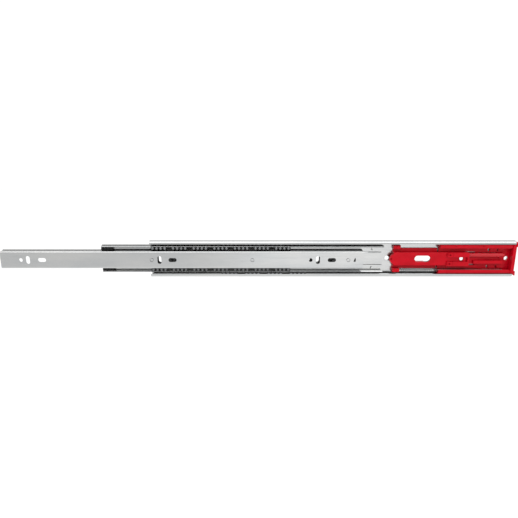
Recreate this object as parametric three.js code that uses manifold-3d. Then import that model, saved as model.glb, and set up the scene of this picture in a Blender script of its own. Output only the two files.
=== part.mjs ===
// Side-mounted ball-bearing drawer slide with a soft-close unit at its rear end.
//
// X runs along the slide: the drawer opens towards -X. The cabinet side lies on the plane Y = 0 and
// the drawer is towards -Y. Z is up. All sizes are in millimetres. "Depth" is the distance in front of
// the cabinet side, so depth d is at Y = -d. The slide stands partly open, its latch carriage cocked.
import * as THREE from 'three';
import { mergeVertices } from 'three/addons/utils/BufferGeometryUtils.js';
import Module from 'manifold-3d';

const wasm = await Module();
wasm.setup();

// Slide members: front end along X, length, sheet thickness
const OUTER = { front: -225, length: 450, sheet: 1.2 };
const MIDDLE = { front: -284.3, length: 347.5, sheet: 1.2 };
const INNER = { front: -407.5, length: 445, sheet: 1.1 };

// Ball rows: height from the middle line, depth, and the radius of a race's own centre line
const BALL_R = 2.38;
const OUTER_ROW = { z: 19.35, d: 5.4, outerRace: 3.05, middleRace: 3.1 };
const INNER_ROW = { z: 13.2, d: 6.4, middleRace: 3.1, innerRace: 3.0 };
const BACK_RADIUS = 2.9;
const WEB_MIDDLE = 2.4;
const WEB_RAISED = 2.95;
const WEB_INNER = 12.15;

// Ball cages: front end, length, number of ball groups, their pitch and the first group's place
const OUTER_CAGE = { front: -137, length: 105, groups: 4, pitch: 27.97, first: 10.55, sheet: 0.3 };
const INNER_CAGE = { front: -224.6, length: 173.6, groups: 7, pitch: 25.42, first: 10.55, sheet: 0.3 };
const POCKET_R = 2.62;
const WINDOW = { first: 28.2, count: 6, length: 13, height: 13 };

// Holes along the drawer member, measured from its front end
const ROUND_HOLES = [25, 380.6];
const UPRIGHT_SLOTS = [33.6, 195, 389.6];
const LEVEL_SLOTS = [50.9, 211.1, 406.6];
const RIVETS = [185.8, 309.1, 426.7];
const SLOT_WIDTH = 5;
const SLOT_LENGTH = 10;
const RIVET_R = 1.6;
const HOOK = { back: 437.1, thick: 1.2, half: 2.2, tip: 9.4, slot: 3 };
const BUMPER = { length: 13, r: 2.3 };

// Soft-close unit: housing in the rear of the cabinet member, carriage drawn forward out of it
const FLOOR = 1.5;
const HOUSING = { front: 132.5, back: 225, floorFront: 179, floorTop: 2.7, edge: 17.8, top: 9.2 };
const KEY = { edge: 21.3, low: 4.3, high: 6.5 };
const END = { wall: 221.6, face: 225.3, back: 228, half: 15.5, top: 10.2 };
const SCREW_HOLE = { x: 217.5, r: 2.6, boss: 3.6, top: 3.4 };
const CARRIAGE = { front: 76, shelfBack: 131, back: 168.5, half: 8.4, shelf: 13, shelfTop: 2.7, top: 8.2 };
const LUG = { back: 84.5, low: 12.2, high: 17, upperTop: 6.4, lowerTop: 7.6 };
const CAVITY = { front: 115.3, half: 7.6, roof: 7.2 };
const ROD_SEAT = 111.4;
const DRIVER_HOLE = { x: 159.5, z: 0.6, r: 2.5, webX: 163.2, webZ: -0.8 };
const LIP = { low: 2.85, high: 3.55, inner: 8.7, upperEdge: 13.4, lowerEdge: 12.4, back: 183 };
const TONGUE = { front: 167, z0: -7.3, z1: 1.5 };
const DAMPER = { front: 163, back: 213.6, z: 4.6, d: 4.25, r: 2.75, bore: 2, rod: 0.75 };
const CATCH = { front: 141.5, back: 168.5, low: 8.45, top: 10.6, lane: 2.9, half: 8.3, x: 143.2, d: 9.4 };
const EAR = { low: 5, high: 6.2, back: 145, top: 10.4 };
const SPRING = { front: 85, back: 214, z: -14.7, d: 5.55, r: 1.95, wire: 0.6 };

const STEEL = { color: 0xc9cac8, roughness: 0.32, metalness: 0.9 };
const BALL_STEEL = { color: 0xdadcde, roughness: 0.12, metalness: 1 };
const RED = { color: 0xc4122c, roughness: 0.38, metalness: 0 };
const BLACK = { color: 0x141414, roughness: 0.55, metalness: 0 };

// --- solids ---------------------------------------------------------------------------------------

function solid(geometry) {
  const bare = geometry.clone();
  bare.deleteAttribute('normal');
  bare.deleteAttribute('uv');
  const merged = mergeVertices(bare, 1e-5);
  const vertProperties = new Float32Array(merged.attributes.position.array);
  const triVerts = new Uint32Array(merged.index.array);
  return new wasm.Manifold(new wasm.Mesh({ numProp: 3, vertProperties, triVerts }));
}

function geometryOf(body) {
  const { vertProperties, triVerts } = body.getMesh();
  const geometry = new THREE.BufferGeometry();
  geometry.setAttribute('position', new THREE.BufferAttribute(vertProperties, 3));
  geometry.setIndex(new THREE.BufferAttribute(triVerts, 1));
  geometry.computeVertexNormals();
  return geometry;
}

const join = (bodies) => bodies.reduce((whole, body) => whole.add(body));
const cut = (body, cutters) => cutters.reduce((rest, cutter) => rest.subtract(cutter), body);
const X = new THREE.Vector3(1, 0, 0);
const BACK = new THREE.Vector3(0, -1, 0);
const Z = new THREE.Vector3(0, 0, 1);

function extruded(shape, depth, right, up, away, curveSegments = 6) {
  const geometry = new THREE.ExtrudeGeometry(shape, { depth, bevelEnabled: false, curveSegments });
  return geometry.applyMatrix4(new THREE.Matrix4().makeBasis(right, up, away));
}

// An outline of (height, depth) points, run along X
function along(points, x0, x1) {
  const geometry = extruded(new THREE.Shape(points), x1 - x0, Z, BACK, X);
  return solid(geometry.translate(x0, 0, 0));
}

// An outline in X and Z, run from one depth to another
function through(shape, d0, d1) {
  return solid(extruded(shape, d1 - d0, X, Z, BACK).translate(0, -d0, 0));
}

// An outline of (X, depth) points, run from one height to another
function across(points, z0, z1) {
  const down = new THREE.Vector3(0, 0, -1);
  return solid(extruded(new THREE.Shape(points), z1 - z0, X, BACK, down).translate(0, 0, z1));
}

function block(x0, x1, z0, z1, d0, d1) {
  const box = new THREE.BoxGeometry(x1 - x0, d1 - d0, z1 - z0);
  return solid(box.translate((x0 + x1) / 2, -(d0 + d1) / 2, (z0 + z1) / 2));
}

function disc(x, z, r, d0, d1, sides = 20) {
  return solid(new THREE.CylinderGeometry(r, r, d1 - d0, sides).translate(x, -(d0 + d1) / 2, z));
}

function bar(z, d, r, x0, x1, sides = 16) {
  const rod = new THREE.CylinderGeometry(r, r, x1 - x0, sides).rotateZ(Math.PI / 2);
  return solid(rod.translate((x0 + x1) / 2, -d, z));
}

function pinAt(x, d, r, z0, z1, sides = 12) {
  const rod = new THREE.CylinderGeometry(r, r, z1 - z0, sides).rotateX(Math.PI / 2);
  return solid(rod.translate(x, -d, (z0 + z1) / 2));
}

// --- outlines -------------------------------------------------------------------------------------

const point = (z, d) => new THREE.Vector2(z, d);

// Points on an arc: 0 degrees points away from the middle line, 90 degrees towards the drawer
function arc(z, d, r, from, to, steps) {
  return Array.from({ length: steps + 1 }, (_, i) => {
    const angle = THREE.MathUtils.degToRad(from + ((to - from) * i) / steps);
    return point(z + r * Math.cos(angle), d + r * Math.sin(angle));
  });
}

// A sheet bent along half a profile, from the web's middle to its upper lip, and mirrored below
function bentSheet(half, thickness) {
  const lower = half.map((p) => point(-p.x, p.y)).reverse();
  const path = [...lower, ...half];
  const side = (offset) =>
    path.map((p, i) => {
      const before = path[Math.max(i - 1, 0)];
      const after = path[Math.min(i + 1, path.length - 1)];
      const into = (i > 0 ? p.clone().sub(before) : after.clone().sub(p)).normalize();
      const out = (i < path.length - 1 ? after.clone().sub(p) : into.clone()).normalize();
      const normal = point(-into.y, into.x);
      const miter = normal.clone().add(point(-out.y, out.x)).normalize();
      return p.clone().addScaledVector(miter, offset / miter.dot(normal));
    });
  return [...side(thickness / 2), ...side(-thickness / 2).reverse()];
}

function slot(x, z, length, width, upright = false) {
  const shape = new THREE.Shape();
  const reach = (length - width) / 2;
  const [dx, dz, turn] = upright ? [0, reach, Math.PI / 2] : [reach, 0, 0];
  shape.absarc(x + dx, z + dz, width / 2, turn - Math.PI / 2, turn + Math.PI / 2);
  shape.absarc(x - dx, z - dz, width / 2, turn + Math.PI / 2, turn + Math.PI * 1.5);
  return shape;
}

// --- slide members --------------------------------------------------------------------------------

// Cabinet member: a wide C whose lips wrap over the outer ball rows
function outerMember() {
  const { sheet, front, length } = OUTER;
  const flange = OUTER_ROW.z + OUTER_ROW.outerRace;
  const bend = flange - BACK_RADIUS;
  const half = [
    ...arc(bend, sheet / 2 + BACK_RADIUS, BACK_RADIUS, -90, 0, 6),
    ...arc(OUTER_ROW.z, OUTER_ROW.d, OUTER_ROW.outerRace, 0, 98, 7),
  ];
  const holes = [
    through(slot(-17.9, 0, SLOT_LENGTH, SLOT_WIDTH, true), -1, 2),
    through(slot(-189, 0, SLOT_LENGTH, SLOT_WIDTH, true), -1, 2),
    through(slot(-213.5, -0.8, SLOT_LENGTH, SLOT_WIDTH, true), -1, 2),
    disc(-29.2, -1.9, 2.3, -1, 2),
    through(slot(-170, 0, SLOT_LENGTH, SLOT_WIDTH), -1, 2),
    disc(69.5, 0, 2.6, -1, 2),
    through(slot(114, 0, 20, 9), -1, 2),
    disc(DRIVER_HOLE.webX, DRIVER_HOLE.webZ, 2.6, -1, 2),
    disc(SCREW_HOLE.x, 0, SCREW_HOLE.r, -1, 2),
  ];
  return cut(along(bentSheet(half, sheet), front, front + length), holes);
}

// Intermediate member: its flanges are an S that is a race for the outer and the inner balls
function middleMember() {
  const { sheet, front, length } = MIDDLE;
  const half = [
    point(7.4, WEB_RAISED),
    point(8.4, WEB_MIDDLE),
    point(16.35, WEB_MIDDLE),
    ...arc(OUTER_ROW.z, OUTER_ROW.d, OUTER_ROW.middleRace, 225, 180, 3),
    ...arc(INNER_ROW.z, INNER_ROW.d, INNER_ROW.middleRace, 4, 45, 4),
  ];
  const holes = [
    through(slot(-212.7, 0.2, SLOT_LENGTH, SLOT_WIDTH, true), 1, 5),
    through(slot(-196.4, 0, 14, 9), 1, 5),
    through(slot(-12.5, 0, 36, 10), 1, 5),
  ];
  return cut(along(bentSheet(half, sheet), front, front + length), holes);
}

// Drawer member: a narrow channel, with a hook pressed back out of its rear end
function innerMember() {
  const { sheet, front, length } = INNER;
  const corner = 1.2;
  const flange = INNER_ROW.z - INNER_ROW.innerRace + 0.05;
  const half = [
    ...arc(flange - corner, WEB_INNER - corner, corner, 90, 0, 4),
    ...arc(INNER_ROW.z, INNER_ROW.d, INNER_ROW.innerRace, 165, 225, 5),
  ];
  const channel = along(bentSheet(half, sheet), front, front + length);
  const hookBack = front + HOOK.back;
  const hookFront = hookBack - HOOK.thick;
  const hook = block(hookFront, hookBack, -HOOK.half, HOOK.half, HOOK.tip, WEB_INNER);
  const holes = [
    ...ROUND_HOLES.map((x) => disc(front + x, 0, SLOT_WIDTH / 2 - 0.2, 11, 13)),
    ...UPRIGHT_SLOTS.map((x) => through(slot(front + x, 0, SLOT_LENGTH, SLOT_WIDTH, true), 11, 13)),
    ...LEVEL_SLOTS.map((x) => through(slot(front + x, 0, SLOT_LENGTH, SLOT_WIDTH), 11, 13)),
    ...RIVETS.map((x) => disc(front + x, 0, RIVET_R + 0.15, 11, 13)),
    block(hookFront - HOOK.slot, hookFront, -HOOK.half, HOOK.half, 11, 13),
  ];
  return cut(channel.add(hook), holes);
}

// A flush rivet with its set head behind the drawer member's web
function webRivet(x) {
  return disc(x, 0, RIVET_R, 10.9, 12.65).add(disc(x, 0, 2.8, 10.7, 11.5));
}

function frontBumper(side) {
  const { z, d } = INNER_ROW;
  return bar(side * z, d, BUMPER.r, MIDDLE.front, MIDDLE.front + BUMPER.length);
}

// --- ball cages -----------------------------------------------------------------------------------

const groupsOf = (cage) =>
  Array.from({ length: cage.groups }, (_, i) => cage.front + cage.first + i * cage.pitch);

const pockets = (cage, row) =>
  groupsOf(cage).flatMap((x) => [1, -1].map((side) => {
    const ends = [side * row.z - 2, side * row.z + 2];
    return pinAt(x, row.d, POCKET_R, ...ends, 16);
  }));

function outerCage() {
  const web = OUTER.sheet + 0.3;
  const half = [point(OUTER_ROW.z - 1.2, web), point(OUTER_ROW.z, web + 1.2), point(OUTER_ROW.z, 7.6)];
  const { front, length, sheet } = OUTER_CAGE;
  const strip = along(bentSheet(half, sheet), front, front + length);
  return cut(strip, pockets(OUTER_CAGE, OUTER_ROW));
}

function innerCage() {
  const { front, length, sheet, pitch } = INNER_CAGE;
  const half = [
    point(8.7, 3.95),
    point(9.6, 3.4),
    point(INNER_ROW.z - 0.6, 3.4),
    point(INNER_ROW.z, 4),
    point(INNER_ROW.z, 9.5),
  ];
  const strip = along(bentSheet(half, sheet), front, front + length);
  const windows = Array.from({ length: WINDOW.count }, (_, i) => {
    const x = front + WINDOW.first + i * pitch;
    const [reach, rise] = [WINDOW.length / 2, WINDOW.height / 2];
    return block(x - reach, x + reach, -rise, rise, 3, 5);
  });
  const notch = through(slot(-212.7, 0.2, SLOT_LENGTH, SLOT_WIDTH, true), 3, 5);
  return cut(strip, [...pockets(INNER_CAGE, INNER_ROW), ...windows, notch]);
}

function ball(x, side, row) {
  return solid(new THREE.IcosahedronGeometry(BALL_R, 1).translate(x, -row.d, side * row.z));
}

// --- soft-close unit ------------------------------------------------------------------------------

// The upper rail is solid; the lower one is a trough over the spring. Both are keyed into the races.
function railOutline(side, hollow) {
  const { edge, top, floorTop } = HOUSING;
  const wall = edge - 0.8;
  const inner = hollow
    ? [[13.4, top], [13.4, top - 1.1], [wall, top - 1.1], [wall, floorTop], [13.2, floorTop]]
    : [[13.9, top], [13.3, top - 0.6], [13.3, FLOOR + 1.9], [13.2, FLOOR + 1.9]];
  const outline = [
    [13.2, FLOOR],
    [edge, FLOOR],
    [edge, KEY.low],
    [KEY.edge, KEY.low],
    [KEY.edge, KEY.high],
    [edge, KEY.high],
    [edge, top - 0.6],
    [edge - 0.6, top],
    ...inner,
  ];
  return outline.map(([z, d]) => point(side * z, d));
}

function housing() {
  const { front, back, floorFront, floorTop, edge } = HOUSING;
  const tab = (side) => {
    const [z0, z1] = side > 0 ? [END.half, KEY.edge + 0.2] : [-KEY.edge - 0.2, -END.half];
    return block(END.face, END.back, z0, z1, 1, 9);
  };
  const { z, d, r } = DAMPER;
  const whole = join([
    along(railOutline(1, false), front, back),
    along(railOutline(-1, true), front, back),
    block(floorFront, back, -13.5, 13.5, FLOOR, floorTop),
    block(END.wall, END.face + 0.2, -edge, edge, FLOOR, END.top),
    tab(1),
    tab(-1),
    block(176, 212, -6.2, -2.4, floorTop - 0.2, 6.4),
    block(front, LIP.back, LIP.inner, LIP.upperEdge, LIP.low, LIP.high),
    block(front, LIP.back, -LIP.lowerEdge, -LIP.inner, LIP.low, LIP.high),
    block(TONGUE.front, LIP.back, TONGUE.z0, TONGUE.z1, LIP.low, LIP.high),
    block(floorFront, LIP.back, -LIP.lowerEdge, -LIP.inner, FLOOR, LIP.high),
    block(floorFront, LIP.back, TONGUE.z0, TONGUE.z1, FLOOR, LIP.high),
    block(floorFront, LIP.back, LIP.inner, LIP.upperEdge, FLOOR, LIP.high),
    block(208, 213, 0.6, 4.6, floorTop - 0.2, 5.2),
    disc(SCREW_HOLE.x, 0, SCREW_HOLE.boss, FLOOR, SCREW_HOLE.top),
  ]);
  return cut(whole, [
    block(LIP.back, 207, z - r - 0.3, z + r + 0.3, 1, 3),
    bar(z, d, r + 0.15, DAMPER.front, DAMPER.back + 0.3),
    disc(SCREW_HOLE.x, 0, SCREW_HOLE.r, 1, 12),
    block(186, 200, 9, 12, 1, 3),
    block(186, 200, -12, -9, 1, 3),
  ]);
}

// The carriage: a shelf on the cabinet member's web, a raised body with a rounded nose, and two lugs
function carriage() {
  const { front, shelfBack, back, half, shelf, shelfTop, top } = CARRIAGE;
  const ears = [1, -1].map((side) => {
    const [z0, z1] = side > 0 ? [EAR.low, EAR.high] : [-EAR.high, -EAR.low];
    return block(CATCH.front, EAR.back, z0, z1, top - 0.4, EAR.top);
  });
  const whole = join([
    block(front, shelfBack, -shelf, shelf, FLOOR, shelfTop),
    block(front, LUG.back, LUG.low, LUG.high, FLOOR, LUG.upperTop),
    block(front, LUG.back, -LUG.high, -LUG.low, FLOOR, LUG.lowerTop),
    disc(81.5, 14.6, 1.6, LUG.upperTop - 0.3, LUG.upperTop + 0.7, 16),
    block(front, shelfBack, -half, half, FLOOR, top),
    block(shelfBack - 1, back, -half, half, 2.95, top),
    disc(78, 0, 6.5, 4.4, top, 24),
    ...ears,
  ]);
  return cut(whole, [
    block(CAVITY.front, back + 1, -CAVITY.half, CAVITY.half, 1, CAVITY.roof),
    block(80, 99.5, -7, 7, 1, 7),
    through(slot(111.75, 0.4, 19.5, 8), 1, 9),
    disc(DRIVER_HOLE.x, DRIVER_HOLE.z, DRIVER_HOLE.r, 5, 12),
    bar(DAMPER.z, DAMPER.d, DAMPER.rod + 0.15, ROD_SEAT - 0.3, CAVITY.front + 1, 12),
    pinAt(CATCH.x, CATCH.d, 0.72, -9, 9),
  ]);
}

// The catch: two arms, hinged at the front, whose tooth and ridge close on the drawer member's hook
function catchLever() {
  const { front, back, low, top, lane, half, x, d } = CATCH;
  const side = [[front, low], [146, low], [back, 9.65], [back, top], [front, top]];
  const arm = side.map(([a, b]) => point(a, b));
  const tooth = [[161.4, 9.3], [163.6, 9.4], [163.6, 10.3], [163, 10.3]].map(([a, b]) => point(a, b));
  const whole = join([
    across(arm, lane, half),
    across(arm, -half, -lane),
    across(tooth, -lane - 0.4, lane + 0.4),
    block(166.5, back, -half, half, 9.6, top),
  ]);
  return cut(whole, [
    block(front - 1, EAR.back + 1, EAR.low - 0.2, EAR.high + 0.2, 8, 11),
    block(front - 1, EAR.back + 1, -EAR.high - 0.2, -EAR.low + 0.2, 8, 11),
    pinAt(x, d, 0.8, -9, 9),
    disc(DRIVER_HOLE.x, DRIVER_HOLE.z, DRIVER_HOLE.r, 8, 12),
  ]);
}

function catchPin(side) {
  const [z0, z1] = side > 0 ? [3.1, 8.1] : [-8.1, -3.1];
  return pinAt(CATCH.x, CATCH.d, 0.55, z0, z1);
}

function damperCylinder() {
  const { front, back, z, d, r, bore } = DAMPER;
  return cut(bar(z, d, r, front, back, 24), [bar(z, d, bore, front - 1, back - 0.9, 20)]);
}

function damperGland() {
  const { front, z, d, bore, rod } = DAMPER;
  const ring = bar(z, d, bore - 0.15, front + 0.3, front + 1.3);
  return cut(ring, [bar(z, d, rod + 0.12, front, front + 2)]);
}

function damperRod() {
  const { front, z, d, bore, rod } = DAMPER;
  return bar(z, d, rod, ROD_SEAT, front + 2).add(bar(z, d, bore - 0.12, front + 1.7, front + 2.5));
}

// The coil spring, stretched, as the sleeve that its turns fill
function returnSpring() {
  const { front, back, z, d, r, wire } = SPRING;
  return cut(bar(z, d, r, front, back), [bar(z, d, r - wire, front - 1, back + 1)]);
}

// --- assembly -------------------------------------------------------------------------------------

const slide = new THREE.Group();

function add(name, body, look) {
  const mesh = new THREE.Mesh(geometryOf(body), new THREE.MeshStandardMaterial(look));
  mesh.name = name;
  slide.add(mesh);
}

add('outer_member', outerMember(), STEEL);
add('middle_member', middleMember(), STEEL);
add('inner_member', innerMember(), STEEL);
RIVETS.forEach((x, i) => add(`web_rivet_${i + 1}`, webRivet(INNER.front + x), STEEL));
add('outer_ball_cage', outerCage(), STEEL);
add('inner_ball_cage', innerCage(), STEEL);
[['upper', 1], ['lower', -1]].forEach(([word, side]) => {
  groupsOf(OUTER_CAGE).forEach((x, i) => {
    add(`outer_ball_${word}_${i + 1}`, ball(x, side, OUTER_ROW), BALL_STEEL);
  });
  groupsOf(INNER_CAGE).forEach((x, i) => {
    add(`inner_ball_${word}_${i + 1}`, ball(x, side, INNER_ROW), BALL_STEEL);
  });
  add(`front_bumper_${word}`, frontBumper(side), BLACK);
  add(`catch_pin_${word}`, catchPin(side), STEEL);
});
add('soft_close_housing', housing(), RED);
add('latch_carriage', carriage(), RED);
add('catch_lever', catchLever(), RED);
add('damper_cylinder', damperCylinder(), RED);
add('damper_gland', damperGland(), BLACK);
add('damper_rod', damperRod(), STEEL);
add('return_spring', returnSpring(), STEEL);

export default slide;
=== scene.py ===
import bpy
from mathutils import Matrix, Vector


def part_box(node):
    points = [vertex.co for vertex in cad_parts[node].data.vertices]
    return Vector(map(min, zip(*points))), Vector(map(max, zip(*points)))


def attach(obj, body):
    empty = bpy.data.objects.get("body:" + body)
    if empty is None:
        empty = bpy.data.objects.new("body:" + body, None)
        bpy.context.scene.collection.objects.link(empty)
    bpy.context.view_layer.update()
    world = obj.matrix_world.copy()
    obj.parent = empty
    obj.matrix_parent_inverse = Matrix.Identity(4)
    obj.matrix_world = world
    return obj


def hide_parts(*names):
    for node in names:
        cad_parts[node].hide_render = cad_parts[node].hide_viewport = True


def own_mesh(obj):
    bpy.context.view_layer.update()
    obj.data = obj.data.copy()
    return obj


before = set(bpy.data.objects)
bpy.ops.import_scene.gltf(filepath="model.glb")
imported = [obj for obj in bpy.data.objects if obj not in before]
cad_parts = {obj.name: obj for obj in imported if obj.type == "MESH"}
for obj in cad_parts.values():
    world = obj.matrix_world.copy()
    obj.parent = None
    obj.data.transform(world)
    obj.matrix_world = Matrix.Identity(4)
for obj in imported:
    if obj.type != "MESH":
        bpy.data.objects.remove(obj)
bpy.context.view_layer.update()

# Cabinet drawer slide: the visual model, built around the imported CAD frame.
# Lengths are in millimetres: x along the slide, z up, d the depth in front of the cabinet side.

import math

import bmesh
import bpy
from mathutils import Matrix, Vector

MM = 0.001

# The camera: what it looks at, and from how far and how high
AIM = (-90.3, -9.7, 0.6)
DISTANCE = 550
ELEVATION = math.radians(14)
LENS = 31.0

# Ball rows, and the radii of the bent sheets around them, as in the frame
BALL_R = 2.38
OUTER_Z, OUTER_D = 19.35, 5.4
OUTER_RACE, OUTER_MIDDLE_RACE = 3.05, 3.1
INNER_Z, INNER_D = 13.2, 6.4
INNER_RACE, INNER_MIDDLE_RACE = 3.0, 3.1
# how far round each race the near-black finish reaches: painted shade, with some grease
OUTER_SHADE_AND_GREASE, INNER_SHADE_AND_GREASE = 2.9, 2.75

# Balls in a group, and the pockets that hold them
BALL_STEP = 5.0
BALL_PLACES = (-1.5, -0.5, 0.5, 1.5)
POCKET_R = 2.45

# Sheet thicknesses, and the bend at the back of the cabinet member
OUTER_SHEET = 1.2
MIDDLE_SHEET = 1.2
INNER_SHEET = 1.1
CAGE_SHEET = 0.3
BACK_RADIUS = 2.9

# Holes that go through several parts: x, z and radius
REAR_HOLE = (217.5, 0, 2.6)
DRIVER_HOLE = (159.5, 0.6, 2.5)

# The soft-close unit: depths of its floor and rails, half heights of its rails
FLOOR_LOW, FLOOR_TOP = 1.5, 2.7
LIP_LOW, LIP_TOP = 2.85, 3.55
RAIL_FOOT, RAIL_TOP = 3.4, 9.2
RAIL_FACE, RAIL_EDGE, KEY_EDGE = 13.2, 17.8, 21.3
CARRIAGE_TOP = 8.2
CATCH_AXIS = (143.2, 9.4)
DAMPER_Z, DAMPER_D, DAMPER_R = 4.6, 4.25, 2.75

# The return spring
SPRING_TURNS = 47
SPRING_STEPS = 18
SPRING_WIRE_R = 0.48


def span(node):
    """Where a CAD node begins and ends along x, in millimetres."""
    low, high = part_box(node)
    return low.x / MM, high.x / MM


def centre(node):
    """The middle of a CAD node, in millimetres."""
    low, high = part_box(node)
    return (low + high) / 2 / MM


# --- materials ------------------------------------------------------------------------------------


class Nodes:
    """A short way to build a material's nodes."""

    def __init__(self, name):
        self.material = bpy.data.materials.new(name)
        self.material.use_nodes = True
        self.tree = self.material.node_tree
        self.bsdf = self.tree.nodes["Principled BSDF"]
        self.place = self.tree.nodes.new("ShaderNodeTexCoord").outputs["Object"]

    def add(self, kind, **values):
        """A new node; a value goes to its socket of that name, or else to its setting."""
        node = self.tree.nodes.new(kind)
        for key, value in values.items():
            if key in node.inputs:
                node.inputs[key].default_value = value
            else:
                setattr(node, key, value)
        return node

    def link(self, out, into):
        self.tree.links.new(out, into)

    def scaled(self, scale):
        """Object coordinates, stretched by their own factor on each axis."""
        mapping = self.add("ShaderNodeMapping")
        mapping.inputs["Scale"].default_value = scale
        self.link(self.place, mapping.inputs["Vector"])
        return mapping.outputs["Vector"]

    def noise(self, scale, detail=3.0, rough=0.55):
        node = self.add("ShaderNodeTexNoise", Scale=1.0, Detail=detail, Roughness=rough)
        self.link(self.scaled(scale), node.inputs["Vector"])
        return node.outputs["Fac"]

    def remap(self, value, low, high):
        """Spreads the middle of a noise's range over low to high."""
        node = self.add("ShaderNodeMapRange")
        limits = {"From Min": 0.3, "From Max": 0.7, "To Min": low, "To Max": high}
        for key, number in limits.items():
            node.inputs[key].default_value = number
        self.link(value, node.inputs["Value"])
        return node.outputs["Result"]

    def colours(self, value, stops):
        """A colour ramp through (position, colour) stops."""
        node = self.add("ShaderNodeValToRGB")
        ramp = node.color_ramp
        while len(ramp.elements) < len(stops):
            ramp.elements.new(0.5)
        for element, (where, colour) in zip(ramp.elements, stops):
            element.position = where
            element.color = (*colour, 1)
        self.link(value, node.inputs["Fac"])
        return node.outputs["Color"]

    def multiply(self, share, first, second):
        """Darkens the first colour by a share of the second."""
        node = self.add("ShaderNodeMix", data_type="RGBA", blend_type="MULTIPLY")
        # sockets 6 and 7, and output 2, are the ones for colours
        node.inputs[0].default_value = share
        self.link(first, node.inputs[6])
        self.link(second, node.inputs[7])
        return node.outputs[2]

    def bump(self, height, strength, distance, after=None):
        node = self.add("ShaderNodeBump", Strength=strength, Distance=distance)
        self.link(height, node.inputs["Height"])
        if after:
            self.link(after, node.inputs["Normal"])
        return node.outputs["Normal"]

    def finish(self, colour, roughness=None, normal=None, **constants):
        """Links the shader's inputs and sets its constant ones."""
        for key, value in constants.items():
            self.bsdf.inputs[key.replace("_", " ")].default_value = value
        links = {"Base Color": colour, "Roughness": roughness, "Normal": normal}
        for key, value in links.items():
            if value:
                self.link(value, self.bsdf.inputs[key])
        return self.material


def zinc_material(name, dark, light):
    """Bright zinc plate on rolled strip: faint lines along x, soft clouds and fine speckle."""
    n = Nodes(name)
    clouds = n.noise((14, 60, 60), detail=4)
    rolled = n.noise((25, 2600, 2600), detail=2)
    speckle = n.noise((2600, 2600, 2600), detail=1)
    base = n.colours(clouds, [(0.3, dark), (0.72, light)])
    tint = n.colours(rolled, [(0.3, (0.9, 0.9, 0.9)), (0.7, (1, 1, 1))])
    colour = n.multiply(0.6, base, tint)
    grain = n.colours(speckle, [(0.35, (0.93, 0.93, 0.94)), (0.65, (1, 1, 1))])
    colour = n.multiply(0.5, colour, grain)
    rough = n.remap(n.noise((30, 900, 900), detail=3), 0.17, 0.27)
    normal = n.bump(rolled, 0.12, 0.00004)
    normal = n.bump(speckle, 0.1, 0.00003, normal)
    return n.finish(colour, rough, normal, Metallic=1.0)


def red_material(name, gloss):
    """Glossy moulded acetal: a little uneven in colour, with faint flow marks and mould texture."""
    n = Nodes(name)
    flow = n.noise((60, 160, 160), detail=3)
    colour = n.colours(flow, [(0.25, (0.33, 0.0006, 0.006)), (0.75, (0.42, 0.001, 0.009))])
    fine = n.noise((3200, 3200, 3200), detail=2)
    rough = n.remap(n.noise((220, 220, 220), detail=3), 0.24, 0.38)
    normal = n.bump(fine, 0.08, 0.00003)
    normal = n.bump(n.noise((190, 260, 260), detail=1), 0.25, 0.00025, normal)
    shine = {"Specular_IOR_Level": 0.1, "Coat_Weight": gloss, "Coat_Roughness": 0.06}
    return n.finish(colour, rough, normal, **shine)


def black_material():
    """Black moulded plastic, matt and a little patchy."""
    n = Nodes("black_plastic")
    patch = n.noise((300, 300, 300), detail=3)
    colour = n.colours(patch, [(0.3, (0.003, 0.003, 0.0035)), (0.7, (0.008, 0.008, 0.0085))])
    rough = n.remap(patch, 0.42, 0.6)
    normal = n.bump(n.noise((2500, 2500, 2500)), 0.2, 0.00004)
    return n.finish(colour, rough, normal, Specular_IOR_Level=0.2)


def shaded_ball_material():
    """Hardened steel, painted dark for the shade in the races, with an uneven film of grease."""
    n = Nodes("ball_steel")
    film = n.noise((500, 500, 500), detail=3)
    # dark steel tones: painted shade of the races
    colour = n.colours(film, [(0.3, (0.17, 0.175, 0.18)), (0.7, (0.23, 0.235, 0.24))])
    return n.finish(colour, n.remap(film, 0.1, 0.2), Metallic=1.0)


def shaded_wire_material():
    """Drawn spring wire: lines along the draw, and a dark colour that is painted shade round the coil.
    """
    n = Nodes("spring_wire_painted_shade")
    draw = n.noise((900, 900, 900), detail=4)
    # dark wire tones: painted shade round the coil
    colour = n.colours(draw, [(0.3, (0.17, 0.17, 0.165)), (0.7, (0.26, 0.26, 0.25))])
    return n.finish(colour, n.remap(draw, 0.22, 0.36), n.bump(draw, 0.1, 0.00003), Metallic=1.0)


# Each finish is a material and the slot it stands for
STEEL = zinc_material("zinc_steel", (0.4, 0.41, 0.415), (0.48, 0.48, 0.47))
# the cages' zinc is a darker copy of the members', painted shade for the deep channel they run in
CAGE_STEEL_SHADED = zinc_material("cage_steel_painted_shade", (0.3, 0.31, 0.31), (0.38, 0.38, 0.37))
# a near-black copy of the zinc for the races and the cage strips: painted shade, with some grease
GREASE_AND_SHADE = zinc_material("greased_steel_painted_shade", (0.035, 0.035, 0.033), (0.07, 0.07, 0.065))
ZINC = (STEEL, "zinc_steel")
ZINC_CAGE_SHADED = (CAGE_STEEL_SHADED, "zinc_steel")
RED = (red_material("red_plastic", 0.0), "red_plastic")
RED_GLOSS = (red_material("red_gloss", 0.5), "red_plastic")
BLACK = (black_material(), "black_plastic")
SHADED_BALL = (shaded_ball_material(), "ball_steel")
SHADED_WIRE = (shaded_wire_material(), "spring_steel")


# --- mesh helpers ---------------------------------------------------------------------------------


def outward(bm):
    """Turns every face outwards."""
    bmesh.ops.recalc_face_normals(bm, faces=bm.faces)
    if bm.calc_volume(signed=True) < 0:
        bmesh.ops.reverse_faces(bm, faces=bm.faces)
    return bm


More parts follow.
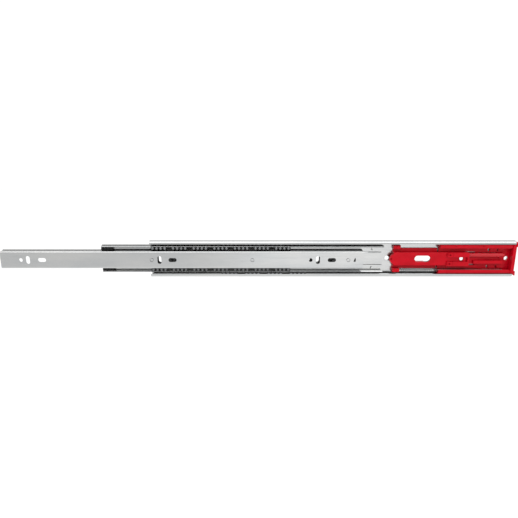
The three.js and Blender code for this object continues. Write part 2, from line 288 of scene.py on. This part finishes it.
def shell(points, w0, w1, place):
    """A closed prism: an outline, and how its own (u, v, w) lies in the model."""
    bm = bmesh.new()
    low = [bm.verts.new(Vector(place(u, v, w0)) * MM) for u, v in points]
    high = [bm.verts.new(Vector(place(u, v, w1)) * MM) for u, v in points]
    bm.faces.new(low)
    bm.faces.new(high)
    for i in range(len(points)):
        j = (i + 1) % len(points)
        bm.faces.new((low[i], low[j], high[j], high[i]))
    return outward(bm)


def along(points, x0, x1):
    """An outline of (z, d) points, run along x."""
    return shell(points, x0, x1, lambda z, d, x: (x, -d, z))


def through(points, d0, d1):
    """An outline of (x, z) points, run through the depth."""
    return shell(points, d0, d1, lambda x, z, d: (x, -d, z))


def across(points, z0, z1):
    """An outline of (x, d) points, run upwards."""
    return shell(points, z0, z1, lambda x, d, z: (x, -d, z))


def block(x0, x1, z0, z1, d0, d1):
    """A box from x0 to x1, z0 to z1 and d0 to d1."""
    return through([(x0, z0), (x1, z0), (x1, z1), (x0, z1)], d0, d1)


def circle(u, v, r, sides=40, start=0.0, end=360.0):
    """Points round a circle, or on part of one."""
    whole = abs(end - start) >= 360
    steps = sides if whole else sides + 1
    angles = [math.radians(start + (end - start) * i / sides) for i in range(steps)]
    return [(u + r * math.cos(a), v + r * math.sin(a)) for a in angles]


def disc(x, z, r, d0, d1, sides=40):
    """A round bar through the depth."""
    return through(circle(x, z, r, sides), d0, d1)


def bar(z, d, r, x0, x1, sides=32):
    """A round bar along x."""
    return along(circle(z, d, r, sides), x0, x1)


def pin(x, d, r, z0, z1):
    """An upright round bar."""
    return across(circle(x, d, r, 24), z0, z1)


def slot(x, z, length, width, upright=False):
    """The outline of a slot with round ends."""
    reach, r = (length - width) / 2, width / 2
    if upright:
        return circle(x, z + reach, r, 14, 0, 180) + circle(x, z - reach, r, 14, 180, 360)
    return circle(x + reach, z, r, 14, -90, 90) + circle(x - reach, z, r, 14, 90, 270)


def on_side(points, side):
    """An outline of (z, d) points on the upper side (1) or its mirror image on the lower one (-1)."""
    return [(side * z, d) for z, d in points]


def as_object(name, shells):
    """One object that holds all the shells."""
    whole = bpy.data.meshes.new(name)
    bm = bmesh.new()
    for part in shells:
        part.to_mesh(whole)
        bm.from_mesh(whole)
        part.free()
    bm.to_mesh(whole)
    bm.free()
    obj = bpy.data.objects.new(name, whole)
    bpy.context.scene.collection.objects.link(obj)
    return obj


def settle(obj):
    """Puts the modifiers' result into the mesh."""
    graph = bpy.context.evaluated_depsgraph_get()
    mesh = bpy.data.meshes.new_from_object(obj.evaluated_get(graph))
    obj.modifiers.clear()
    obj.data = mesh
    mesh.name = obj.name


def boolean(obj, shells, operation):
    """Joins shells to an object or cuts them out of it, one by one."""
    for shell_mesh in shells:
        other = as_object("tool", [shell_mesh])
        modifier = obj.modifiers.new("tool", "BOOLEAN")
        modifier.operation = operation
        modifier.object = other
        modifier.solver = "EXACT"
        settle(obj)
        bpy.data.objects.remove(other)


def round_edges(obj, width, segments):
    """Rounds the sharp edges."""
    modifier = obj.modifiers.new("edges", "BEVEL")
    modifier.width = width * MM
    modifier.segments = segments
    modifier.limit_method = "ANGLE"
    modifier.angle_limit = math.radians(32)
    modifier.use_clamp_overlap = True
    settle(obj)


def smooth(obj):
    """Smooth shading that keeps the sharp edges sharp and the flats flat."""
    mesh = obj.data
    mesh.polygons.foreach_set("use_smooth", [True] * len(mesh.polygons))
    mesh.set_sharp_from_angle(angle=math.radians(42))
    modifier = obj.modifiers.new("flats", "WEIGHTED_NORMAL")
    modifier.keep_sharp = True
    settle(obj)


def piece(name, node, body, finish, shells, cuts=(), edge=0.12, segments=2):
    """Joins shells, cuts others out of them, rounds the edges and puts the piece in its place."""
    material, slot_name = finish
    obj = as_object(name, shells[:1])
    boolean(obj, shells[1:], "UNION")
    boolean(obj, cuts, "DIFFERENCE")
    if edge:
        round_edges(obj, edge, segments)
    smooth(obj)
    obj.data.materials.clear()
    obj.data.materials.append(material)
    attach(obj, body)
    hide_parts(node)
    return obj


def bent_sheet(half, thickness):
    """The outline of a sheet that follows half a profile, and its mirror image below."""
    path = [(-z, d) for z, d in reversed(half)] + list(half)
    points = [Vector(p) for p in path]
    sides = []
    for offset in (thickness / 2, -thickness / 2):
        side = []
        for i, p in enumerate(points):
            before = points[max(i - 1, 0)]
            after = points[min(i + 1, len(points) - 1)]
            into = (p - before if i else after - p).normalized()
            out = (after - p if i < len(points) - 1 else into).normalized()
            normal = Vector((-into.y, into.x))
            miter = (normal + Vector((-out.y, out.x))).normalized()
            side.append(tuple(p + miter * (offset / miter.dot(normal))))
        sides.append(side)
    return sides[0] + sides[1][::-1]


# --- slide members --------------------------------------------------------------------------------

# Openings in the members' webs: kind, x, z, then the radius or the length and width
OUTER_OPENINGS = (
    ("upright", -17.9, 0, 10, 5),
    ("upright", -189, 0, 10, 5),
    ("upright", -213.5, -0.8, 10, 5),
    ("round", -29.2, -1.9, 2.3),
    ("level", -170, 0, 10, 5),
    ("round", 69.5, 0, 2.6),
    ("level", 114, 0, 20, 9),
    ("round", 163.2, -0.8, 2.6),
    ("round", *REAR_HOLE),
)
SHARED_OPENING = ("upright", -212.7, 0.2, 10, 5)
MIDDLE_OPENINGS = (
    SHARED_OPENING,
    ("level", -196.4, 0, 14, 9),
    ("level", -12.5, 0, 36, 10),
)
# The drawer member's, counted from its front end: screw holes, slots and rivet holes
INNER_OPENINGS = (
    *(("round", x, 0, 2.3) for x in (25, 380.6)),
    *(("upright", x, 0, 10, 5) for x in (33.6, 195, 389.6)),
    *(("level", x, 0, 10, 5) for x in (50.9, 211.1, 406.6)),
    *(("round", x, 0, 2.4) for x in (185.8, 309.1, 426.7)),
)


def openings(table, d0, d1, start=0):
    """Cutters for a web's openings; their x counts from start."""
    cuts = []
    for kind, x, z, *size in table:
        if kind == "round":
            outline = circle(start + x, z, *size)
        else:
            outline = slot(start + x, z, *size, kind == "upright")
        cuts.append(through(outline, d0, d1))
    return cuts


def shade_and_grease_races(obj):
    """The grooves that the balls run in get a near-black finish: painted shade of the narrow races,
    with some grease.
    """
    rows = ((OUTER_Z, OUTER_D, OUTER_SHADE_AND_GREASE), (INNER_Z, INNER_D, INNER_SHADE_AND_GREASE))
    obj.data.materials.append(GREASE_AND_SHADE)
    for face in obj.data.polygons:
        z, d = abs(face.center.z) / MM, -face.center.y / MM
        if any(math.hypot(z - row_z, d - row_d) < reach for row_z, row_d, reach in rows):
            face.material_index = 1


def outer_member():
    """A C channel: flat web, rounded back corners, and lips that wrap the outer rows of balls."""
    flange = OUTER_Z + OUTER_RACE
    half = circle(flange - BACK_RADIUS, OUTER_SHEET / 2 + BACK_RADIUS, BACK_RADIUS, 12, -90, 0)
    half += circle(OUTER_Z, OUTER_D, OUTER_RACE, 16, 0, 98)
    shells = [along(bent_sheet(half, OUTER_SHEET), *span("outer_member"))]
    cuts = openings(OUTER_OPENINGS, -1, 2)
    channel = piece("cabinet_channel", "outer_member", "cabinet_member", ZINC, shells, cuts)
    shade_and_grease_races(channel)


def middle_member():
    """A web with a raised band, edges that turn round both rows of balls, and a trimmed rear end."""
    x0, x1 = span("middle_member")
    web, raised, bend = 2.4, 2.95, 1.05
    half = [(7.4, raised), (7.7, 2.84), (8.1, 2.51), (8.4, web)]
    half += circle(15.85, web + bend, bend, 9, -90, 20)
    half += [(OUTER_Z - OUTER_MIDDLE_RACE, OUTER_D)]
    half += circle(INNER_Z, INNER_D, INNER_MIDDLE_RACE, 10, 4, 45)
    cuts = openings(MIDDLE_OPENINGS, 1, 5)
    # counted from the rear end: its rounded corners, and the stop marks and grooves by the band
    corner = [(1, 18.7), (-3.3, 18.7), (-1.9, 17.1), (-0.9, 15.2), (-0.25, 13.1), (1, 12.3)]
    mark = [(-14.8, 10.6), (-12.2, 10.2), (-12.6, 11.4), (-13.4, 11.5), (-13.2, 13.4), (-14.4, 13.2)]
    groove = [(7.45, 3.8), (7.9, 2.62), (8.35, 3.8)]
    for side in (1, -1):
        cuts.append(through([(x1 + x, side * z) for x, z in corner], 1.05, 3.95))
        cuts.append(through([(x1 + x, side * z) for x, z in mark], 1.5, 3.4))
        cuts.append(along(on_side(groove, side), x1 - 18, x1 - 1.6))
    shells = [along(bent_sheet(half, MIDDLE_SHEET), x0, x1)]
    channel = piece("intermediate_channel", "middle_member", "intermediate_member", ZINC, shells, cuts)
    shade_and_grease_races(channel)


def inner_member():
    """A shallow channel with grooved edges, and a hook pressed back from the rear of its web."""
    x0, x1 = span("inner_member")
    corner, web, front, back = 1.2, 12.15, 13, 11
    flange = INNER_Z - INNER_RACE + 0.05
    half = circle(flange - corner, web - corner, corner, 8, 90, 0)
    half += circle(INNER_Z, INNER_D, INNER_RACE, 12, 165, 225)
    cuts = openings(INNER_OPENINGS, back, front, x0)
    hook_back, hook_thick, hook_half, hook_tip = x0 + 437.1, 1.2, 2.2, 9.4
    hook_front = hook_back - hook_thick
    gap = [(hook_front - 2.6, -hook_half), (hook_front, -hook_half), (hook_front, hook_half)]
    gap += [(hook_front - 1.2, hook_half)]
    cuts.append(through(gap, back, front))
    # the web slopes down a little around and behind the hook
    slope = [(x0 + 429, 12.75), (x1 + 1, 12.75), (x1 + 1, 12.2)]
    cuts.append(across(slope, -5.5, 4.6))
    profile = [(hook_front, 12.0), (hook_back + 1.2, 12.0), (hook_back, 11.2), (hook_back, hook_tip)]
    profile += [(hook_front, hook_tip)]
    hook = across(profile, -hook_half, hook_half)
    shells = [along(bent_sheet(half, INNER_SHEET), x0, x1), hook]
    channel = piece("drawer_channel", "inner_member", "drawer_member", ZINC, shells, cuts)
    shade_and_grease_races(channel)


def web_rivets():
    """Flush rivets in the drawer member's web, each with a dimple in its head."""
    for i in (1, 2, 3):
        node = f"web_rivet_{i}"
        x, _, z = centre(node)
        head = disc(x, z, 1.9, 10.9, 12.7)
        flare = disc(x, z, 2.8, 10.7, 11.5)
        dimple = disc(x, z, 0.95, 12.3, 13)
        piece(f"flush_rivet_{i}", node, "drawer_member", ZINC, [head, flare], [dimple])


def bumpers():
    """Grooved plugs in the front ends of the inner ball races."""
    x0, x1 = span("front_bumper_upper")
    groove_x, groove_width, pitch, reach = x0 + 2.4, 0.8, 4, 3
    for word, side in (("upper", 1), ("lower", -1)):
        z = side * INNER_Z
        cuts = []
        for k in range(3):
            x = groove_x + pitch * k
            cuts.append(block(x, x + groove_width, z - reach, z + reach, 7.6, 9.2))
        node = f"front_bumper_{word}"
        shells = [bar(z, INNER_D, 2.28, x0, x1)]
        piece(f"bumper_{word}", node, "intermediate_member", BLACK, shells, cuts, 0.2)


# --- ball cages -----------------------------------------------------------------------------------


def group_centres(cage, count):
    """Centres of the groups of balls, spread evenly over the cage."""
    x0, x1 = span(cage)
    margin = 10.55
    pitch = (x1 - x0 - 2 * margin) / (count - 1)
    return [x0 + margin + i * pitch for i in range(count)]


OUTER_GROUPS = group_centres("outer_ball_cage", 4)
INNER_GROUPS = group_centres("inner_ball_cage", 7)


def pockets(groups, z, d):
    """Cutters for the balls' holes in both strips of a cage."""
    places = [x + k * BALL_STEP for x in groups for k in BALL_PLACES]
    return [pin(x, d, POCKET_R, side * z - 2, side * z + 2) for x in places for side in (1, -1)]


def shade_and_grease_strips(obj):
    """The pocketed strips of a cage stand in the races and get the near-black finish, painted shade
    with some grease; its web keeps the lighter finish.
    """
    strip_depth, facing_up = 4.6, 0.7
    obj.data.materials.append(GREASE_AND_SHADE)
    # faces facing up or down, and those in front of the strip depth, get the painted shade
    for face in obj.data.polygons:
        if abs(face.normal.z) > facing_up or face.center.y < -strip_depth * MM:
            face.material_index = 1


def outer_cage():
    """A U of thin sheet: a web against the cabinet member and a pocketed strip in each race."""
    web, strip_front = OUTER_SHEET + 0.3, 7.6
    half = [(OUTER_Z - 1.2, web), (OUTER_Z - 0.35, web + 0.35)]
    half += [(OUTER_Z, web + 1.2), (OUTER_Z, strip_front)]
    shells = [along(bent_sheet(half, CAGE_SHEET), *span("outer_ball_cage"))]
    cuts = pockets(OUTER_GROUPS, OUTER_Z, OUTER_D)
    cage = piece("outer_cage_strip", "outer_ball_cage", "outer_cage", ZINC_CAGE_SHADED, shells, cuts, 0.05, 1)
    shade_and_grease_strips(cage)


def inner_cage():
    """The same for the inner races, with windows in its web between the groups of balls."""
    x0, x1 = span("inner_ball_cage")
    web, strip_front = 3.4, 9.5
    half = [(8.7, 3.95), (9.6, web), (INNER_Z - 0.6, web), (INNER_Z, 4), (INNER_Z, strip_front)]
    shells = [along(bent_sheet(half, CAGE_SHEET), x0, x1)]
    cuts = pockets(INNER_GROUPS, INNER_Z, INNER_D)
    cuts += openings([SHARED_OPENING], 3, 5)
    first, pitch, window = x0 + 28.2, INNER_GROUPS[1] - INNER_GROUPS[0], 6.5
    for k in range(len(INNER_GROUPS) - 1):
        x = first + k * pitch
        cuts.append(block(x - window, x + window, -window, window, 3, 5))
    cage = piece("inner_cage_strip", "inner_ball_cage", "inner_cage", ZINC_CAGE_SHADED, shells, cuts, 0.05, 1)
    shade_and_grease_strips(cage)


def ball_groups(row, groups, z, d):
    """Four balls to a group, in both races of a row."""
    for word, side in (("upper", 1), ("lower", -1)):
        for i, x in enumerate(groups, 1):
            bm = bmesh.new()
            for k in BALL_PLACES:
                place = Matrix.Translation(Vector((x + k * BALL_STEP, -d, side * z)) * MM)
                bmesh.ops.create_icosphere(bm, subdivisions=3, radius=BALL_R * MM, matrix=place)
            name, node = f"{row}_balls_{word}_{i}", f"{row}_ball_{word}_{i}"
            piece(name, node, f"{row}_cage", SHADED_BALL, [bm], edge=0)


# --- soft-close unit ------------------------------------------------------------------------------


def rail(side, hollow):
    """A housing rail's outline: keyed into the ball race, solid above and a trough below."""
    chamfer, wall = 0.6, RAIL_EDGE - 0.8
    points = [(RAIL_FACE, FLOOR_LOW), (RAIL_EDGE, FLOOR_LOW), (RAIL_EDGE, 4.3), (KEY_EDGE, 4.3)]
    points += [(KEY_EDGE, 6.5), (RAIL_EDGE, 6.5), (RAIL_EDGE, RAIL_TOP - chamfer)]
    points += [(RAIL_EDGE - chamfer, RAIL_TOP)]
    if hollow:
        points += [(13.9, RAIL_TOP), (13.4, RAIL_TOP - 0.4), (13.4, RAIL_TOP - 1.1)]
        points += [(wall, RAIL_TOP - 1.1), (wall, FLOOR_TOP), (RAIL_FACE, FLOOR_TOP)]
    else:
        points += [(14.6, RAIL_TOP), (13.6, RAIL_TOP - 0.5), (13.3, RAIL_TOP - 1.4)]
        points += [(13.3, RAIL_FOOT), (RAIL_FACE, RAIL_FOOT)]
    return on_side(points, side)


def housing():
    """Two rails, a floor, an end wall with tabs, lips over the carriage and the damper's cradle."""
    x0, x1 = span("soft_close_housing")
    wall, wall_back, back = 221.6, 225.5, 225.0
    floor_front, lip_back, tongue_front, half = 179, 183, 167, 13.5
    upper_lip, lower_lip, tongue = (8.7, half), (-12.4, -8.7), (-7.3, 1.5)
    rails = [along(rail(1, False), x0, back), along(rail(-1, True), x0, back)]
    floor = block(floor_front, back, -half, half, FLOOR_LOW, FLOOR_TOP)
    end_wall = block(wall, wall_back, -RAIL_EDGE, RAIL_EDGE, FLOOR_LOW, 10.2)
    # the lips and the tongue reach forward over the carriage's shelf, from roots on the floor
    lips = [
        block(floor_front, lip_back, *lower_lip, FLOOR_LOW, LIP_TOP),
        block(floor_front, lip_back, *tongue, FLOOR_LOW, LIP_TOP),
        block(floor_front, lip_back, *upper_lip, FLOOR_LOW, LIP_TOP),
        block(x0, lip_back, 8.7, 13.6, LIP_LOW, LIP_TOP),
        block(x0, lip_back, *lower_lip, LIP_LOW, LIP_TOP),
        block(tongue_front, lip_back, *tongue, LIP_LOW, LIP_TOP),
    ]
    rib_low = FLOOR_TOP - 0.2
    rib = block(176, 212, -6.2, -2.4, rib_low, 6.4)
    damper_stop = block(208, 213, 0.6, 4.6, rib_low, 5.2)
    hole_x, hole_z, hole_r = REAR_HOLE
    boss = disc(hole_x, hole_z, hole_r + 1, FLOOR_LOW, RAIL_FOOT)
    shells = [*rails, floor, end_wall, *lips, rib, damper_stop, boss]
    tab = [(225.3, 15.5), (x1, 15.5), (x1, 21.2), (225.3, 19.6)]
    ramp = [(8.9, 2.6), (12.2, 2.6), (12.2, 3.45), (11.2, 3.45)]
    for side in (1, -1):
        shells.append(through([(x, side * z) for x, z in tab], 1, 9))
        # low ramps between the rail and the carriage's way
        for x, length in ((197, 7.5), (207.5, 6.5)):
            shells.append(along(on_side(ramp, side), x, x + length))
    reach = DAMPER_R + 0.3
    window = block(lip_back, 207, DAMPER_Z - reach, DAMPER_Z + reach, 1, 3)
    cradle = bar(DAMPER_Z, DAMPER_D, DAMPER_R + 0.15, 163, 213.9)
    cuts = [window, cradle, disc(*REAR_HOLE, 1, 12)]
    # narrow windows in the floor beside the ramps, and two dents in the upper rail's top
    for x, length in ((194.2, 2.0), (205.4, 1.4)):
        cuts.append(block(x, x + length, 9, 12.4, 1, 4))
        cuts.append(block(x, x + length, -12.4, -9, 1, 4))
    cuts += [block(x, x + 3, 15.2, 16.4, 8.6, 10) for x in (150, 184)]
    piece("unit_housing", "soft_close_housing", "cabinet_member", RED, shells, cuts, 0.22, 3)


def carriage():
    """A long hollow block on a thin shelf, with a rounded nose, two lugs and ears for the catch."""
    x0, x1 = span("latch_carriage")
    front, shelf_back = x0 + 4.5, 131.0
    half, side_top, bevel, rear_low = 8.4, 7.4, 0.8, 2.95
    outline = [(-half, FLOOR_LOW), (half, FLOOR_LOW), (half, side_top), (half - bevel, CARRIAGE_TOP)]
    outline += [(-half + bevel, CARRIAGE_TOP), (-half, side_top)]
    rear_outline = [(z, max(d, rear_low)) for z, d in outline]
    shelf = block(front, shelf_back, -13, 13, FLOOR_LOW, FLOOR_TOP)
    main = along(outline, front, shelf_back)
    rear = along(rear_outline, shelf_back - 1, x1)
    nose = disc(front + 2, 0, 6.5, 4.4, CARRIAGE_TOP, 48)
    # a stepped button stands on the upper lug
    button = [disc(81.5, 14.6, 1.6, 6.1, 7.1, 24), disc(81.5, 14.6, 2.3, 6.1, 6.7, 32)]
    shells = [shelf, main, rear, nose, *button]
    ear = [(141.5, 7.8), (145, 7.8), (145, 9.6), (144.2, 10.4), (142.3, 10.4), (141.5, 9.6)]
    for side, top in ((1, 6.4), (-1, 7.6)):
        lug = [(12.2, FLOOR_LOW), (17, FLOOR_LOW), (17, top - 0.6), (16.4, top)]
        lug += [(12.8, top), (12.2, top - 0.6)]
        shells.append(along(on_side(lug, side), front, front + 8.5))
        shells.append(across(ear, *sorted((side * 5.0, side * 6.2))))
    rear_hollow = block(115.3, x1 + 1, -7.6, 7.6, 1, 7.2)
    front_hollow = block(80, 99.5, -7, 7, 1, 7)
    window = through(slot(111.75, 0.4, 19.5, 8), 1, 9)
    driver_hole = disc(*DRIVER_HOLE, 5, 12)
    rod_seat = bar(DAMPER_Z, DAMPER_D, 0.9, 111.1, 116)
    pin_bore = pin(*CATCH_AXIS, 0.72, -9, 9)
    notch = block(x0 - 1, x0 + 2.6, -0.9, 1.5, 7.0, 9)
    cuts = [rear_hollow, front_hollow, window, driver_hole, rod_seat, pin_bore, notch]
    body = "soft_close_carriage"
    piece("catch_carriage", "latch_carriage", body, RED, shells, cuts, 0.25, 3)


def catch():
    """A plate in two halves beside the hook's lane, joined by a tooth and a ridge, on two pins."""
    x0, x1 = span("catch_lever")
    low, top, lane, half = 8.45, 10.6, 2.9, 8.3
    knee, ridge, ridge_low = 146, 166.5, 9.6
    arm = [(x0, low), (knee, low), (x1, 9.65), (x1, top), (x0 + 1.2, top), (x0, top - 1.1)]
    tooth = [(161.4, 9.3), (163.6, 9.4), (163.6, 10.3), (163, 10.3)]
    crest = [(ridge, ridge_low), (x1, ridge_low), (x1, top), (x1 - 0.4, top), (ridge, top)]
    shells = [
        across(arm, lane, half),
        across(arm, -half, -lane),
        across(tooth, -lane - 0.4, lane + 0.4),
        across(crest, -half, half),
    ]
    ear_slots = [block(x0 - 1, knee, low_z, low_z + 1.6, 8, 11) for low_z in (4.8, -6.4)]
    pin_bore = pin(*CATCH_AXIS, 0.8, -9, 9)
    driver_hole = disc(*DRIVER_HOLE, 8, 12)
    groove = block(148, 148.7, -9, 9, 10.35, 11)
    cuts = [*ear_slots, pin_bore, driver_hole, groove]
    piece("catch_pawl", "catch_lever", "catch", RED, shells, cuts, 0.2, 3)
    for word, side in (("upper", 1), ("lower", -1)):
        shells = [pin(*CATCH_AXIS, 0.55, *sorted((side * 3.1, side * 8.1)))]
        name, node = f"pawl_pin_{word}", f"catch_pin_{word}"
        piece(name, node, "soft_close_carriage", SHADED_WIRE, shells, edge=0.08)


def damper():
    """A barrel with a gland in its mouth, and a rod that ends in a piston."""
    x0, x1 = span("damper_cylinder")
    z, d = DAMPER_Z, DAMPER_D
    barrel = bar(z, d, DAMPER_R, x0, x1, 48)
    bore = bar(z, d, 2.0, x0 - 1, x1 - 0.9)
    body = "cabinet_member"
    piece("damper_barrel", "damper_cylinder", body, RED_GLOSS, [barrel], [bore], 0.3, 3)
    gland = bar(z, d, 1.85, x0 + 0.3, x0 + 1.3)
    gland_hole = bar(z, d, 0.87, x0 - 1, x0 + 2)
    piece("damper_seal", "damper_gland", body, BLACK, [gland], [gland_hole], 0.1)
    rod_front, rod_back = span("damper_rod")
    rod = bar(z, d, 0.75, rod_front, rod_back - 0.5)
    piston = bar(z, d, 1.88, rod_back - 0.8, rod_back)
    carried_by = "soft_close_carriage"
    piece("piston_rod", "damper_rod", carried_by, SHADED_WIRE, [rod, piston], edge=0.08)


def tube(points, r, sides):
    """Round wire along a line of points, closed at both ends."""
    bm = bmesh.new()
    rings = []
    first = Vector((0, 0, 1))
    for i, p in enumerate(points):
        heading = (points[min(i + 1, len(points) - 1)] - points[max(i - 1, 0)]).normalized()
        first = (first - heading * first.dot(heading)).normalized()
        second = heading.cross(first)
        turns = [2 * math.pi * k / sides for k in range(sides)]
        ring = [p + (first * math.cos(a) + second * math.sin(a)) * r for a in turns]
        rings.append([bm.verts.new(v * MM) for v in ring])
    for one, two in zip(rings, rings[1:]):
        for k in range(sides):
            bm.faces.new((one[k], one[k - 1], two[k - 1], two[k]))
    bm.faces.new(rings[0])
    bm.faces.new(rings[-1])
    return outward(bm)


def spring():
    """A coil that closes up as the carriage is drawn back."""
    x0, x1 = span("return_spring")
    middle = centre("return_spring")
    low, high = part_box("return_spring")
    r = (high.z - low.z) / 2 / MM - SPRING_WIRE_R
    inset = 0.5
    count = SPRING_TURNS * SPRING_STEPS
    points = []
    for i in range(count + 1):
        a = 2 * math.pi * i / SPRING_STEPS
        x = x0 + inset + (x1 - x0 - 2 * inset) * i / count
        points.append(Vector((x, middle.y + r * math.cos(a), middle.z + r * math.sin(a))))
    shells = [tube(points, SPRING_WIRE_R, 8)]
    coil = piece("tension_spring", "return_spring", "cabinet_member", SHADED_WIRE, shells, edge=0)
    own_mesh(coil)


# --- camera, floor and lights ---------------------------------------------------------------------


def look_at(obj, target):
    """Turns a camera or a light towards a place."""
    direction = Vector(target) - obj.location
    obj.rotation_euler = direction.to_track_quat("-Z", "Y").to_euler()


def add_camera():
    """Straight from the front and a little from above."""
    data = bpy.data.cameras.new("camera")
    camera = bpy.data.objects.new("camera", data)
    bpy.context.scene.collection.objects.link(camera)
    aim = Vector(AIM) * MM
    way = Vector((0, -math.cos(ELEVATION), math.sin(ELEVATION)))
    camera.location = aim + way * DISTANCE * MM
    look_at(camera, aim)
    data.sensor_width = 36
    data.lens = LENS
    data.clip_start = 0.01
    bpy.context.scene.camera = camera


def area_light(name, place, width, height, power):
    """A soft box that lights the slide's middle; the power is in watts."""
    data = bpy.data.lights.new(name, "AREA")
    data.shape = "RECTANGLE"
    data.size = width * MM
    data.size_y = height * MM
    data.energy = power
    light = bpy.data.objects.new(name, data)
    bpy.context.scene.collection.objects.link(light)
    light.location = [value * MM for value in place]
    look_at(light, (0, 0, 0))


def add_floor():
    """A plain pale floor, well below the slide."""
    n = Nodes("floor")
    tone = n.noise((3, 3, 3))
    colour = n.colours(tone, [(0.3, (0.96, 0.96, 0.96)), (0.7, (0.97, 0.97, 0.97))])
    material = n.finish(colour, Roughness=0.9)
    bm = bmesh.new()
    half, height = 6000, -450
    corners = [(-half, -half), (half, -half), (half, half), (-half, half)]
    bm.faces.new([bm.verts.new((x * MM, y * MM, height * MM)) for x, y in corners])
    mesh = bpy.data.meshes.new("floor")
    bm.to_mesh(mesh)
    bm.free()
    mesh.materials.append(material)
    floor = bpy.data.objects.new("floor", mesh)
    bpy.context.scene.collection.objects.link(floor)


def add_world():
    """White light from all around."""
    world = bpy.data.worlds.new("studio")
    world.use_nodes = True
    sky = world.node_tree.nodes["Background"]
    sky.inputs["Color"].default_value = (1, 1, 1, 1)
    sky.inputs["Strength"].default_value = 1.06
    bpy.context.scene.world = world


add_camera()
add_floor()
add_world()
area_light("key", (0, -600, 1100), 2400, 1400, 18)
area_light("fill", (250, -1300, -220), 900, 350, 0.6)
bpy.context.scene.view_settings.view_transform = "Standard"

outer_member()
middle_member()
inner_member()
web_rivets()
bumpers()
outer_cage()
inner_cage()
ball_groups("outer", OUTER_GROUPS, OUTER_Z, OUTER_D)
ball_groups("inner", INNER_GROUPS, INNER_Z, INNER_D)
housing()
carriage()
catch()
damper()
spring()
